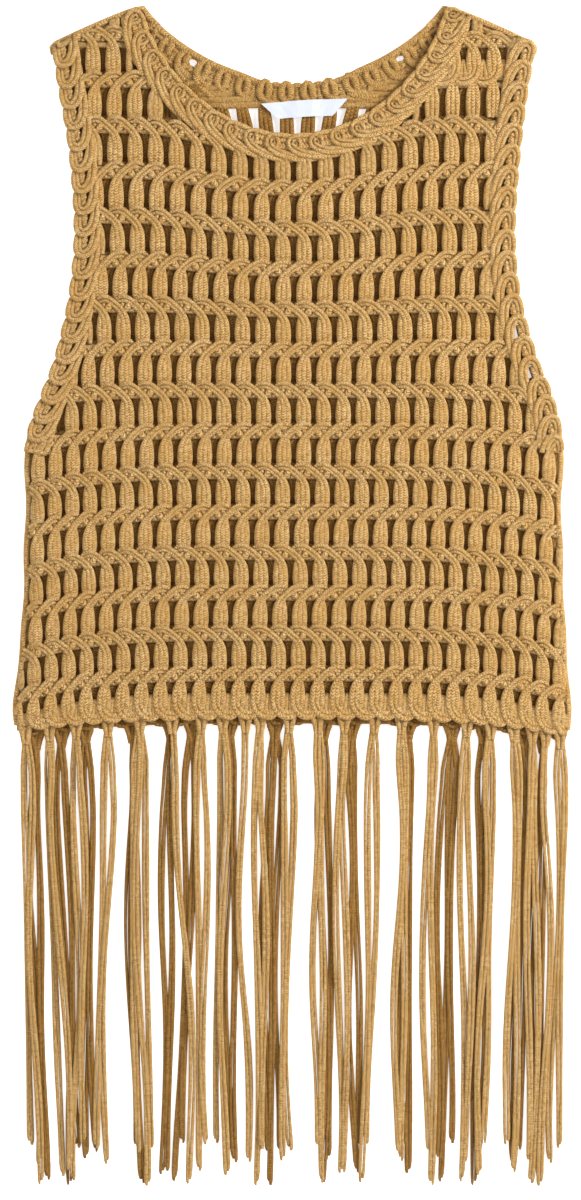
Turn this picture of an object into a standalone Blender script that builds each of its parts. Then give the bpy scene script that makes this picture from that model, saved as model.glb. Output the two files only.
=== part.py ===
"""Cropped tank top crocheted in flat cotton cord, with a long fringe at the hem.

It lies flat on a table with its front up: +Z is up, +Y runs towards the neck and -Y towards the
fringe. The back panel lies on the table and the front panel lies on it. The origin is under the
middle of the whole piece. Left and right are the viewer's. Sizes are in millimetres until place().
Run it with: blender --background --python part.py
"""

import math

import bmesh
import bpy
from mathutils import Vector
from mathutils.geometry import delaunay_2d_cdt

MM = 0.001

# Plan of the garment. A drop is measured down from the top of the shoulders.
CENTRE_X = -0.96  # middle of the whole piece, from the garment's own centre line
HALF_LENGTH = 442.0  # half of the length over all, shoulder top to the longest strand
SHOULDER_POINT = 113.0  # neck end of a shoulder, from the centre line
SHOULDER_TIP = 182.0
SHOULDER_FALL = 29.0  # drop of the shoulder's tip
FRONT_NECK_DROP = 97.0
BACK_NECK_DROP = 56.0
UNDERARM_DROP = 322.0
HEM_DROP = 534.0  # at the centre front
HEM_REACH = 207.0
BACK_HEM_EXTRA = 6.0  # the back hem hangs this much below the front one
SEAM = 0.3  # clear line between pieces that meet

# Outer edge of the front, from the shoulder's tip down the armhole and the side to the hem.
OUTLINE = (  # drop, left, right
    (29, 182, 183),
    (62, 177, 177),
    (110, 169, 171),
    (170, 165, 167),
    (218, 169, 171),
    (266, 180, 184),
    (290, 189, 194),
    (322, 200, 202),
    (374, 201, 201),
    (470, 204, 204),
    (524, 210, 208),
    (550, 208, 207),
)

# Rows of tall stitches, counted down from the shoulders.
ROWS = 16
ROW_PITCH = 30.3
FIRST_ROW_DROP = 55.3  # middle of the first row, on the centre line
NECK_SAG = 20.0  # how far the neckband pulls the upper rows down at the centre
SAG_REACH = 120.0
SIDE_DROOP = 15.0  # how far the lower rows hang down at the sides
HEM_DROOP_LEFT = 9.0
HEM_DROOP_RIGHT = 13.0

# Thicknesses: a post is two flat cords deep, and a crown lies over the tops of the posts.
PANEL_WALL = 3.8
CROWN_RAISE = 1.8
EDGE_FALL = 1.6  # the panels thin out towards their side folds
EDGE_REACH = 14.0
LAYER = 6.2  # underside of the front panel
BAND_WALL = 5.8
FRONT_BAND_BASE = 6.8

PANEL_COLUMN = 22.0  # spacing of a panel's points along a row
PANEL_CLEAR = 3.0  # how far those points keep from the panel's edge
FLANK_START = 24.0  # first point of a side edge below the underarm, then one every FLANK_STEP
FLANK_STEP = 29.0

# Bands: overlapping loops of doubled cord.
FRONT_NECK_BAND = 21.5
BACK_NECK_BAND = 19.0
ARMHOLE_BAND = 20.5
LOOP_PITCH = 15.0
LOOP_BULGE = 0.9
LOOP_RAISE = 0.7

# Fringe: flat cords in small bundles, one bundle for each hitch in the hem.
CORD_WIDTH = 4.6
CORD_THICKNESS = 3.0
CORD_PITCH = 5.5
STRIP_WIDTH = 4.0
STRIP_HEIGHT = 3.2
FRONT_FRINGE_LIE = 3.5  # height of the front cords where they lie over the back ones
FRINGE_STEPS = 6
FRINGE_END = 868.0  # drop of the mean strand's tip
FRINGE_UNEVEN = 16.0
TIP_TAPER = 0.55
FRONT_BUNDLES = (  # hem, middle, tip, cords: places along the hem from the centre line
    (-201, -197, -195, 2),
    (-183, -178, -171, 2),
    (-163, -161, -160, 2),
    (-139, -142, -144, 2),
    (-115, -115, -112, 3),
    (-91, -82, -76, 1),
    (-69, -70, -66, 2),
    (-53, -54, -55, 2),
    (-36, -38, -35, 1),
    (-25, -26, -24, 2),
    (-3, -6, -4, 2),
    (18, 20, 18, 2),
    (38, 36, 36, 2),
    (61, 57, 55, 2),
    (81, 81, 80, 2),
    (105, 102, 101, 2),
    (130, 129, 128, 2),
    (148, 144, 142, 2),
    (165, 167, 162, 2),
    (179, 180, 176, 2),
    (189, 190, 186, 1),
    (200, 199, 197, 2),
)
BACK_BUNDLES = (
    (-193, -192, -189, 2),
    (-174, -171, -163, 2),
    (-156, -154, -151, 2),
    (-121, -119, -118, 2),
    (-92, -95, -97, 2),
    (-76, -81, -84, 2),
    (-48, -47, -45, 2),
    (-14, -16, -18, 3),
    (23, 24, 25, 2),
    (44, 44, 50, 2),
    (86, 85, 84, 2),
    (119, 115, 111, 3),
    (143, 140, 138, 2),
    (173, 170, 168, 2),
    (187, 184, 182, 2),
)

# Woven label inside the back neck.
LABEL_CENTRE_X = 8.5
LABEL_DROP = 78.4
LABEL_TOP = 65.0
LABEL_FOOT = 41.0
LABEL_HEIGHT = 12.5
LABEL_THICKNESS = 0.8
LABEL_TILT = math.radians(3.4)
LABEL_LIFT = 0.6  # above the back panel's own points, to clear its facets and the band's edge

COTTON = (0.50, 0.30, 0.10, 1.0)
COTTON_SHADE = (0.38, 0.22, 0.08, 1.0)
SATIN_WHITE = (0.86, 0.87, 0.88, 1.0)


def place(x, drop, z):
    """World point, in metres, of a place on the garment's plan."""
    return Vector(((x - CENTRE_X) * MM, (HALF_LENGTH - drop) * MM, z * MM))


def clear_scene():
    for obj in list(bpy.data.objects):
        bpy.data.objects.remove(obj, do_unlink=True)


def principled(name, colour, roughness):
    material = bpy.data.materials.new(name)
    material.use_nodes = True
    shader = material.node_tree.nodes["Principled BSDF"]
    shader.inputs["Base Color"].default_value = colour
    shader.inputs["Roughness"].default_value = roughness
    shader.inputs["Metallic"].default_value = 0.0
    return material


def add_object(name, mesh, colour, roughness=0.9):
    obj = bpy.data.objects.new(name, mesh)
    obj.data.materials.append(principled(name, colour, roughness))
    obj.data.shade_smooth()
    obj.data.set_sharp_from_angle(angle=math.radians(40))
    GARMENT.objects.link(obj)
    return obj


def smooth_read(table, at, column):
    """A column of a table at a place between its rows, on a smooth curve through them."""
    rows = [(row[0], row[column]) for row in table]
    at = min(max(at, rows[0][0]), rows[-1][0])
    i = max(n for n in range(len(rows) - 1) if rows[n][0] <= at)
    before = rows[max(i - 1, 0)]
    (low, start), (high, end) = rows[i], rows[i + 1]
    after = rows[min(i + 2, len(rows) - 1)]
    span = high - low
    t = (at - low) / span
    slope_in = (end - before[1]) / (high - before[0]) * span
    slope_out = (after[1] - start) / (after[0] - low) * span
    return (
        (2 * t**3 - 3 * t**2 + 1) * start
        + (t**3 - 2 * t**2 + t) * slope_in
        + (3 * t**2 - 2 * t**3) * end
        + (t**3 - t**2) * slope_out
    )


def reach(side, drop):
    """How far the outer edge is from the centre line, signed. side is -1 for left, 1 for right."""
    return side * smooth_read(OUTLINE, drop, 1 if side < 0 else 2)


def shoulder(x):
    """Drop of the shoulder line, which falls from the neck to the armhole."""
    along = max(0.0, abs(x) - SHOULDER_POINT) / (SHOULDER_TIP - SHOULDER_POINT)
    return SHOULDER_FALL * along**1.15


def front_neckline(x):
    return FRONT_NECK_DROP * (1 - min(1.0, abs(x) / SHOULDER_POINT) ** 2) ** (2 / 3)


def back_neckline(x):
    return BACK_NECK_DROP * (1 - min(1.0, abs(x) / SHOULDER_POINT) ** 2) ** 0.87


def row_line(row, x):
    """Drop of the middle of a row: the neckband pulls it down, and its ends hang."""
    sag = NECK_SAG * min(1.0, max(0.0, 1 - (row - 2) / 8)) ** 1.7
    inside = max(0.0, 1 - (x / SAG_REACH) ** 2)
    droop = SIDE_DROOP * min(1.0, max(0.0, (row - 6) / 5)) * (x / 200) ** 4
    return FIRST_ROW_DROP + ROW_PITCH * (row - 1) - sag * (1 - inside**2) + droop


def hem_line(x):
    """The hem hangs lower at the sides, most of all on the right."""
    droop = HEM_DROOP_LEFT if x < 0 else HEM_DROOP_RIGHT
    return HEM_DROP + droop * abs(x / HEM_REACH) ** 3


def evenly(points, spacing):
    """Points at even steps along a line of points, each with the line's direction there."""
    steps = [math.dist(a, b) for a, b in zip(points, points[1:])]
    count = max(2, round(sum(steps) / spacing))
    stations = []
    i, walked = 0, 0.0
    for n in range(count + 1):
        wanted = sum(steps) * n / count
        while i < len(steps) - 1 and walked + steps[i] < wanted:
            walked += steps[i]
            i += 1
        a, b = points[i], points[i + 1]
        t = (wanted - walked) / steps[i]
        along = ((b[0] - a[0]) / steps[i], (b[1] - a[1]) / steps[i])
        stations.append(((a[0] + (b[0] - a[0]) * t, a[1] + (b[1] - a[1]) * t), along))
    return stations


def neck_edge(neckline):
    """The neck's edge from the left shoulder round to the right one."""
    angles = [math.pi * n / 60 for n in range(61)]
    xs = [-SHOULDER_POINT * math.cos(angle) for angle in angles]
    return [(x, neckline(x)) for x in xs]


def armhole_edge(side):
    """The armhole's outer edge from the shoulder's tip down to the underarm."""
    drops = [SHOULDER_FALL + (UNDERARM_DROP - SHOULDER_FALL) * n / 50 for n in range(51)]
    return [(reach(side, drop), drop) for drop in drops]


def inside_edge(stations, width, turn):
    """The line at an even distance from a band's outer edge, on the cloth's side of it."""
    return [(p[0] - turn * width * d[1], p[1] + turn * width * d[0]) for p, d in stations]


def loft(name, rings, colour):
    """One closed skin over a run of rings with the same number of points."""
    skin = bmesh.new()
    loops = [[skin.verts.new(point) for point in ring] for ring in rings]
    for a, b in zip(loops, loops[1:]):
        for i in range(len(a)):
            skin.faces.new((a[i - 1], a[i], b[i], b[i - 1]))
    skin.faces.new(loops[0])
    skin.faces.new(loops[-1])
    return close(name, skin, colour)


def close(name, skin, colour):
    """The finished node of a closed skin, with its faces pointing out."""
    bmesh.ops.recalc_face_normals(skin, faces=skin.faces)
    bmesh.ops.triangulate(skin, faces=skin.faces)
    mesh = bpy.data.meshes.new(name)
    skin.to_mesh(mesh)
    skin.free()
    return add_object(name, mesh, colour)


BAND_SECTION = (  # across, up: a flat underside and a rounded top, as shares of width and wall
    (0.0, 0.0),
    (1.0, 0.0),
    (1.0, 0.6),
    (0.72, 1.0),
    (0.28, 1.0),
    (0.0, 0.6),
)


def band(name, edge, width, turn, base, colour, shoulder_ends):
    """A row of loops along an edge. Every second ring is the swollen middle of a loop.

    turn is 1 where the cloth is on the right of the edge's direction, and -1 on its left.
    shoulder_ends is how many of its ends lie on the shoulder line: the first, or both.
    """
    stations = evenly(edge, LOOP_PITCH / 2)
    rings = []
    for n, ((x, drop), (along_x, along_drop)) in enumerate(stations):
        swollen = n % 2
        ring = []
        for across, up in BAND_SECTION:
            off = width * across - LOOP_BULGE * swollen * (1 - across)
            px = x - turn * off * along_drop
            pd = drop + turn * off * along_x
            if n == 0 or (n == len(stations) - 1 and shoulder_ends == 2):
                pd = shoulder(px)
            pd = max(pd, shoulder(px))
            ring.append(place(px, pd, base + up * (BAND_WALL + LOOP_RAISE * swollen * up)))
        rings.append(ring)
    return loft(name, rings, colour)


def panel_outline(neck_stations, neck_width, hem_extra):
    """The panel's edge as one closed line: shoulders, armholes, sides, hem and neck."""
    neck_side = inside_edge(neck_stations, neck_width + SEAM, 1)
    outline = []
    for side in (-1, 1):
        stations = evenly(armhole_edge(side), LOOP_PITCH / 2)
        hole = inside_edge(stations, ARMHOLE_BAND + SEAM, side)
        foot = stations[-1]
        under = [
            (hole[-1][0] + foot[1][0], hole[-1][1] + foot[1][1]),
            (reach(side, UNDERARM_DROP + 3), foot[0][1] + 3),
        ]
        drops = [UNDERARM_DROP + FLANK_START + FLANK_STEP * n for n in range(7)]
        flank = [(reach(side, drop), drop) for drop in drops]
        neck_end = neck_side[0] if side < 0 else neck_side[-1]
        top_x = [neck_end[0] + (hole[0][0] - neck_end[0]) * n / 2 for n in (1, 2)]
        top = [(neck_end[0], shoulder(neck_end[0]))] + [(x, shoulder(x)) for x in top_x]
        outline.append(top + hole[1:] + under + flank)
    left, right = outline
    hem_x = [-HEM_REACH + 2 * HEM_REACH * n / 16 for n in range(17)]
    hem = [(x, hem_line(x) + hem_extra) for x in hem_x]
    scoop = [point for point in neck_side if point[1] > shoulder(point[0]) + 0.6]
    return left + hem + right[::-1] + scoop[::-1]


def panel(name, neckline, neck_width, hem_extra, base, colour):
    """A wall with the garment's outline. Each row stands up in its outer points."""
    outline = panel_outline(evenly(neck_edge(neckline), LOOP_PITCH / 2), neck_width, hem_extra)
    points = [Vector(point) for point in outline]
    edges = [(n, (n + 1) % len(outline)) for n in range(len(outline))]
    loop = [list(range(len(outline)))]
    columns = [PANEL_COLUMN * n for n in range(-9, 10)]
    for half in range(1, 2 * ROWS + 1):
        row = half / 2 + 0.5
        held = [n for n, x in enumerate(columns) if inside(outline, Vector((x, row_line(row, x))))]
        for k, (n, following) in enumerate(zip(held, held[1:])):
            if following == n + 1:
                edges.append((len(points) + k, len(points) + k + 1))
        points += [Vector((columns[n], row_line(row, columns[n]))) for n in held]
    verts, _, faces, *_ = delaunay_2d_cdt(points, edges, loop, 1, 0.01)
    wall = bmesh.new()
    corners = [wall.verts.new(place(v.x, v.y, base)) for v in verts]
    for face in faces:
        wall.faces.new([corners[i] for i in face])
    made = bmesh.ops.extrude_face_region(wall, geom=list(wall.faces))
    top = [item for item in made["geom"] if isinstance(item, bmesh.types.BMVert)]
    for vert in top:
        x = vert.co.x / MM + CENTRE_X
        drop = HALF_LENGTH - vert.co.y / MM
        vert.co.z = (base + wall_height(x, drop)) * MM
    return close(name, wall, colour)


def wall_height(x, drop):
    """Thickness of a panel: crowns between the rows stand up, and the side folds are thin."""
    row = (drop - row_line(1, x)) / ROW_PITCH + 1
    for _ in range(3):
        row += (drop - row_line(row, x)) / ROW_PITCH
    crown = 0.5 - 0.5 * math.cos(2 * math.pi * row)
    side = -1 if x < 0 else 1
    fold = min(1.0, (abs(reach(side, drop)) - abs(x)) / EDGE_REACH)
    fall = EDGE_FALL * (1 - max(0.0, fold)) ** 2 if drop > UNDERARM_DROP else 0.0
    return PANEL_WALL + CROWN_RAISE * crown - fall


def inside(outline, point):
    """Whether a point is inside a closed line and well clear of it."""
    crossings = 0
    for a, b in zip(outline, outline[1:] + outline[:1]):
        ax, ay, bx, by = a[0], a[1], b[0], b[1]
        length = math.dist(a, b)
        t = ((point.x - ax) * (bx - ax) + (point.y - ay) * (by - ay)) / length**2
        t = min(1.0, max(0.0, t))
        if math.dist((ax + t * (bx - ax), ay + t * (by - ay)), point) < PANEL_CLEAR:
            return False
        if (ay > point.y) != (by > point.y):
            crossings += point.x < ax + (point.y - ay) / (by - ay) * (bx - ax)
    return crossings % 2 == 1


def strand_drop(n, order):
    """How far down strand n ends. The lengths are uneven in a fixed way."""
    return FRINGE_END + FRINGE_UNEVEN * math.sin(2.3 * n + 1.7 * order)


def fringe(name, bundles, hem_extra, root_z, lie_z, colour):
    """Flat cords that grow out of one narrow strip below the hem."""
    lanes = []
    for order, (hem, middle, tip, cords) in enumerate(bundles):
        for n in range(cords):
            off = (n - (cords - 1) / 2) * CORD_PITCH
            lanes.append((hem + off, middle + off, tip + off, strand_drop(n, order)))
    lanes.sort()
    half = CORD_WIDTH / 2
    stations = [-HEM_REACH] + [x for lane in lanes for x in (lane[0] - half, lane[0] + half)]
    stations.append(HEM_REACH)
    skin = bmesh.new()
    rings = []
    for x in stations:
        top = hem_line(x) + hem_extra + SEAM
        foot = top + STRIP_WIDTH
        corners = ((top, 0), (foot, 0), (foot, STRIP_HEIGHT), (top, STRIP_HEIGHT))
        rings.append([skin.verts.new(place(x, drop, root_z + z)) for drop, z in corners])
    skin.faces.new(rings[0])
    skin.faces.new(rings[-1])
    roots = []
    for n, (a, b) in enumerate(zip(rings, rings[1:])):
        sides = [skin.faces.new((a[i], a[(i + 1) % 4], b[(i + 1) % 4], b[i])) for i in range(4)]
        if n % 2:
            roots.append(sides[1])
    for face, lane in zip(roots, lanes):
        grow(skin, face, lane, root_z, lie_z)
    return close(name, skin, colour)


def grow(skin, face, lane, root_z, lie_z):
    """Extrudes one face of the strip step by step down the strand's route."""
    hem, middle, tip, end = lane
    start = hem_line(hem) + STRIP_WIDTH
    for step in range(1, FRINGE_STEPS + 1):
        t = step / FRINGE_STEPS
        x = (1 - t) * (1 - 2 * t) * hem + 4 * t * (1 - t) * middle + t * (2 * t - 1) * tip
        drop = start + (end - start) * (0.5 * t + 0.5 * t**1.6)
        settle = min(1.0, step / 2)
        z = root_z + (lie_z - root_z) * settle
        made = bmesh.ops.extrude_discrete_faces(skin, faces=[face])
        face = made["faces"][0]
        taper = TIP_TAPER if step == FRINGE_STEPS else 1.0
        corners = sorted(face.verts, key=lambda v: (v.co.z, v.co.x))
        sides = ((-1, 0), (1, 0), (-1, 1), (1, 1))
        for vert, (across, up) in zip(corners, sides):
            vert.co = place(x + across * CORD_WIDTH / 2 * taper, drop, z + up * CORD_THICKNESS)


def neck_label():
    """A woven label whose ends are folded under at a slant. It lies on the back panel's points."""
    half = LABEL_HEIGHT / 2
    corners = (
        (-LABEL_TOP / 2, -half),
        (LABEL_TOP / 2, -half),
        (LABEL_FOOT / 2, half),
        (-LABEL_FOOT / 2, half),
    )
    rings = []
    for lift in (LABEL_LIFT, LABEL_LIFT + LABEL_THICKNESS):
        ring = []
        for x, down in corners:
            px = LABEL_CENTRE_X + x * math.cos(LABEL_TILT) + down * math.sin(LABEL_TILT)
            drop = LABEL_DROP + down * math.cos(LABEL_TILT) - x * math.sin(LABEL_TILT)
            ring.append(place(px, drop, wall_height(px, drop) + lift))
        rings.append(ring)
    return loft("neck_label", rings, SATIN_WHITE)


clear_scene()
GARMENT = bpy.data.collections.new("fringed_tank_top")
bpy.context.scene.collection.children.link(GARMENT)

panel("back_panel", back_neckline, BACK_NECK_BAND, BACK_HEM_EXTRA, 0.0, COTTON_SHADE)
panel("front_panel", front_neckline, FRONT_NECK_BAND, 0.0, LAYER, COTTON)
band("neck_band_back", neck_edge(back_neckline), BACK_NECK_BAND, 1, 0.0, COTTON_SHADE, 2)
band("neck_band_front", neck_edge(front_neckline), FRONT_NECK_BAND, 1, FRONT_BAND_BASE, COTTON, 2)
for side, word in ((-1, "left"), (1, "right")):
    hole = armhole_edge(side)
    band(f"armhole_band_{word}_back", hole, ARMHOLE_BAND, side, 0.0, COTTON_SHADE, 1)
    band(f"armhole_band_{word}_front", hole, ARMHOLE_BAND, side, FRONT_BAND_BASE, COTTON, 1)
fringe("fringe_back", BACK_BUNDLES, BACK_HEM_EXTRA, 0.0, 0.0, COTTON_SHADE)
fringe("fringe_front", FRONT_BUNDLES, 0.0, LAYER, FRONT_FRINGE_LIE, COTTON)
neck_label()
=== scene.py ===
"""A fringed tank top crocheted in soft cotton cord, laid flat and seen from straight above.

Every cord of the crochet is a swept tube: tall stitches with leaning crowns in sixteen rows, one
row of loops round the neck and each armhole, hem loops and a fringe. Places are given on the
garment's plan in millimetres: x from the centre line, drop down from the shoulders, up from the
table. cloth_place() turns them into the frame's metres.
"""

import math

import bmesh
import bpy
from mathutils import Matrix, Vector


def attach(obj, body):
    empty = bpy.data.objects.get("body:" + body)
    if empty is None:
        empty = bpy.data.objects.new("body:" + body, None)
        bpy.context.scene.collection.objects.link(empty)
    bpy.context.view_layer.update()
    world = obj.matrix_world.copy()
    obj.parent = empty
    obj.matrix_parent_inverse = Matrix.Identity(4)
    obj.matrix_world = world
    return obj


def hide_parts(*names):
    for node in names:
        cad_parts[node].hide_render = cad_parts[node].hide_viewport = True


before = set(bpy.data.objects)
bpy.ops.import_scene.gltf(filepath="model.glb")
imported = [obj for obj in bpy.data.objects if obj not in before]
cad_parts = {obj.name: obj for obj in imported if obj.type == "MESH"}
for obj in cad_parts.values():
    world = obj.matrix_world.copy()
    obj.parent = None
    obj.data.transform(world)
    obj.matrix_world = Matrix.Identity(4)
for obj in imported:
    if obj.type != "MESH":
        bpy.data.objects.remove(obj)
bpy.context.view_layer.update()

MM = 0.001

# The garment's plan, as the solids have it.
CENTRE_X = -0.96
HALF_LENGTH = 442.0
SHOULDER_POINT = 113.0
SHOULDER_TIP = 182.0
SHOULDER_FALL = 29.0
SHOULDER_CURVE = 1.15
FRONT_NECK_DROP = 97.0
FRONT_NECK_CURVE = 2 / 3
BACK_NECK_DROP = 56.0
BACK_NECK_CURVE = 0.87
UNDERARM_DROP = 322.0
HEM_DROP = 534.0
HEM_REACH = 207.0
FRONT_HEM_EXTRA = 1.5
BACK_HEM_EXTRA = 6.0
OUTLINE = (  # drop, left, right
    (29, 182, 183),
    (62, 177, 177),
    (110, 169, 171),
    (170, 165, 167),
    (218, 169, 171),
    (266, 180, 184),
    (290, 189, 194),
    (322, 200, 202),
    (374, 201, 201),
    (470, 204, 204),
    (524, 210, 208),
    (550, 208, 207),
)
ROW_PITCH = 30.3
FIRST_ROW_DROP = 55.3
LAST_ROW = 16
NECK_SAG = 20.0
SAG_REACH = 120.0
SAG_FROM_ROW = 2  # the neckband's pull fades out over the SAG_ROWS below this one
SAG_ROWS = 8
SAG_EASE = 1.7
SIDE_DROOP = 15.0
DROOP_REACH = 200
DROOP_FROM_ROW = 6  # the sides' droop comes in over the DROOP_ROWS below this one
DROOP_ROWS = 5
HEM_DROOP = {-1: 9.0, 1: 13.0}
FRONT_LAYER = 6.2  # underside of the front
FRONT_BAND_BASE = 6.8
BACK_LAYER = 1.2
FRONT_NECK_BAND = 21.5
BACK_NECK_BAND = 19.0
ARMHOLE_BAND = 20.5
UNDER_BAND = 3.0  # stitches run in under a band by this much
FOLD_REACH = 14.0  # the sides curve down to the table over this much
FOLD_THIN = 0.25
FOLD_SHIFT = {"front": -2.4, "back": 0.8}
SHOULDER_MARGIN = 3.2  # how near to a panel's edges its cords may come
HEM_MARGIN = {"front": 1, "back": 7}
BAND_MARGIN = 0.5
SIDE_MARGIN = 2.4
FEWEST_POINTS = 3  # a cord of which less is left is dropped
LEAST_KEPT = 0.3

# Columns of stitches.
COLUMN_PITCH = 15.07
COLUMN_SQUEEZE = 0.0041  # columns get closer towards the side folds
COLUMNS = 16  # on each side of the centre line
ROW_STRETCH = ((0, 1.08), (5, 1.05), (8, 1.0), (12, 0.985), (16, 0.985))  # row, stretch
MOST_SPREAD = 1.2
DRIFT_FROM_ROW = 10
ROW_DRIFT = -0.75
BACK_NECK_SHIFT = -0.31  # of a column: where the back's columns stand in the neck opening
NECK_POSTS_REACH = 78.0  # the back's second row has no crowns inside the neck opening
SHOULDERS_FROM = 100.0  # on the right one, the front's first row closes in loops as the hem does

# One tall stitch, whose crown comes from the right. Odd rows mirror it.
CROWN_OUTER = (  # across, down, up, half width: a cord's middle, from the stitch's own middle
    (21.0, -11.6, 1.4, 1.0),
    (19.7, -12.6, 3.1, 1.55),
    (17.0, -13.6, 3.8, 1.7),
    (14.2, -13.6, 4.0, 1.65),
    (11.3, -12.8, 4.0, 1.55),
    (8.7, -11.3, 4.0, 1.5),
    (6.0, -9.2, 4.0, 1.5),
    (3.0, -6.8, 3.9, 1.5),
    (0.5, -4.5, 3.8, 1.5),
    (-1.3, -1.8, 3.5, 1.7),
    (-2.5, 1.2, 3.1, 2.0),
    (-3.1, 5.1, 2.8, 2.3),
    (-3.3, 8.9, 2.6, 2.45),
    (-3.3, 13.0, 2.2, 2.5),
    (-3.1, 17.8, 1.0, 2.0),
)
CROWN_INNER = (
    (18.8, -10.2, 1.4, 1.0),
    (17.0, -10.5, 2.8, 1.45),
    (14.8, -10.8, 3.4, 1.5),
    (12.4, -10.3, 3.6, 1.4),
    (10.2, -9.1, 3.6, 1.4),
    (7.6, -7.2, 3.6, 1.35),
    (4.7, -4.9, 3.5, 1.35),
    (2.4, -2.9, 3.3, 1.4),
    (0.9, -0.2, 3.1, 1.75),
    (0.1, 2.4, 2.9, 2.05),
    (0.0, 5.4, 2.8, 2.4),
    (0.1, 9.0, 2.7, 2.55),
    (0.1, 13.0, 2.2, 2.55),
    (0.0, 17.8, 1.0, 2.0),
)
POST_SIDE = (
    (3.0, -4.6, 1.0, 0.9),
    (3.2, -2.6, 1.7, 1.2),
    (3.2, 0.5, 2.2, 1.9),
    (3.3, 5.1, 2.4, 2.4),
    (3.5, 8.9, 2.4, 2.5),
    (3.4, 12.8, 2.1, 2.5),
    (3.0, 18.0, 1.0, 2.0),
)
CHAIN_BARS = (  # short cords that cross from crown to crown
    ((9.9, -8.4, 2.2, 2.1), (11.6, -6.4, 3.6, 2.5), (13.2, -4.8, 2.4, 2.1)),
    ((14.4, -9.4, 1.5, 1.3), (15.9, -7.8, 3.0, 1.6), (17.2, -6.2, 1.6, 1.3)),
    ((6.2, -5.2, 1.4, 1.3), (7.5, -4.3, 2.5, 1.5), (8.7, -3.7, 1.2, 1.2)),
)
PLAIN_POSTS = tuple(  # a tall stitch with no crown: its cords spread from under the band above
    tuple((side * across, down, up, half) for across, down, up, half in (
        (1.9, -17.0, 1.6, 1.5), (2.3, -8.0, 2.3, 1.8), (3.2, 4.0, 2.4, 2.0), (3.4, 17.8, 1.0, 1.7),
    ))
    for side in (-1, 0, 1)
)
GATHERED_POSTS = tuple(
    tuple((side * across, down, up, half) for across, down, up, half in (
        (1.2, -8.5, 1.0, 1.4), (2.2, -4.0, 2.0, 1.7), (3.2, 2.0, 2.5, 2.0), (3.4, 9.0, 2.5, 2.0),
        (3.0, 17.8, 1.0, 1.6),
    ))
    for side in (-1, 0, 1)
)
CORE_LINES = ((-4.8, 0.9, 2.4), (-9.5, 0.6, 2.4))  # down, up, half width: behind the bars
BACK_CORE = (-0.6, 0.6, 2.4)
HEM_CORE = {  # the layer's hem below the front's, above that hem, up, half width
    "front": (0.0, 3.5, 1.6, 2.6), "back": (BACK_HEM_EXTRA, 4.0, 1.6, 3.0)
}
POST_FAN = 170.0  # the plain posts lean out from the centre line by x over this
FAN_DOWN = 2.0
SHOULDER_LIFT = 4.5  # the left shoulder's first crowns reach up to its edge

# One loop of a band. along runs with the sweep, across from the outer edge into the cloth.
LOOP_OUTER = (  # along, across, up, half width
    (30.0, 20.6, 1.0, 1.2),
    (22.0, 20.2, 2.6, 1.8),
    (13.0, 18.8, 3.6, 1.9),
    (5.5, 16.6, 4.0, 1.8),
    (-0.4, 13.4, 4.0, 1.65),
    (-3.3, 9.4, 3.9, 1.5),
    (-3.4, 5.6, 3.8, 1.5),
    (-1.4, 2.6, 3.7, 1.6),
    (2.6, 1.8, 3.5, 1.7),
    (8.0, 1.9, 3.2, 1.9),
    (13.0, 2.2, 2.4, 1.8),
    (17.0, 3.4, 1.2, 1.3),
)
LOOP_INNER = (
    (28.0, 17.6, 1.0, 1.1),
    (20.5, 17.2, 2.4, 1.6),
    (13.0, 15.8, 3.2, 1.6),
    (6.6, 13.7, 3.6, 1.5),
    (1.7, 11.0, 3.6, 1.4),
    (-0.6, 8.4, 3.6, 1.3),
    (-0.6, 6.0, 3.5, 1.25),
    (0.9, 4.6, 3.2, 1.1),
    (2.0, 5.2, 2.4, 0.8),
)
LOOP_RIGHT = (  # closes the loop to a ring
    (2.0, 3.2, 2.4, 1.2),
    (4.2, 4.9, 3.3, 1.4),
    (4.9, 7.8, 3.4, 1.45),
    (4.3, 10.9, 3.0, 1.35),
    (2.8, 13.6, 1.8, 1.2),
)
LOOP_FILLS = (
    ((1.7, 5.4, 1.6, 0.8), (2.2, 8.2, 2.8, 1.05), (1.4, 11.4, 1.8, 0.9)),
    ((7.0, 4.8, 1.2, 1.0), (8.2, 6.6, 2.3, 1.3), (9.0, 8.2, 1.2, 1.0)),
    ((6.6, 9.6, 1.0, 1.0), (7.9, 10.9, 2.2, 1.2), (9.4, 12.0, 1.0, 1.0)),
)
LOOP_TABLES = [  # route, points
    (LOOP_OUTER, 17), (LOOP_INNER, 14), (LOOP_RIGHT, 8), *[(bar, 5) for bar in LOOP_FILLS],
]
LOOP_LENGTHS = [62.0, 50.0, 14.0, 7.0, 5.0, 5.0, 300.0]  # of the cords, for their UV maps
NECK_FILLERS = ((5.0, 0.8, 2.8), (10.0, 0.9, 3.0), (15.0, 0.7, 3.0))  # across, up, half width
UNDER_NECK_FILLERS = ((22.0, 0.8, 2.8), (27.0, 0.8, 2.8), (32.0, 0.8, 2.8))
UNDER_NECK_FROM = 62.0
ARCH_FILLERS = ((8.5, 0.6, 2.6), (13.2, 0.6, 2.7), (17.8, 0.6, 2.7))
BACK_SIDE_FILLERS = ((19.5, 0.8, 2.6), (24.5, 0.8, 2.8))
BACK_SIDES_FROM = 68.0
NECK_DOTS = ((-76.0, 42.5), (80.5, 39.9))  # small gaps of the back band
DOT_REACH = 3.4
DOT_RADIUS = 2.1
SHELF_DROPS = (44.1, 48.4, 52.7, 57.0, 61.3, 65.6, 69.9, 74.2)
SHELF_FROM = 24  # cords across the back below its neck, from here out to both sides
EDGE_CORDS = ((2.3, 4.9, 2.3), (1.9, 2.7, 2.2))  # in from the side fold, up, half width
EDGE_STEPS = 44
EDGE_RIPPLE = 0.6
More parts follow.
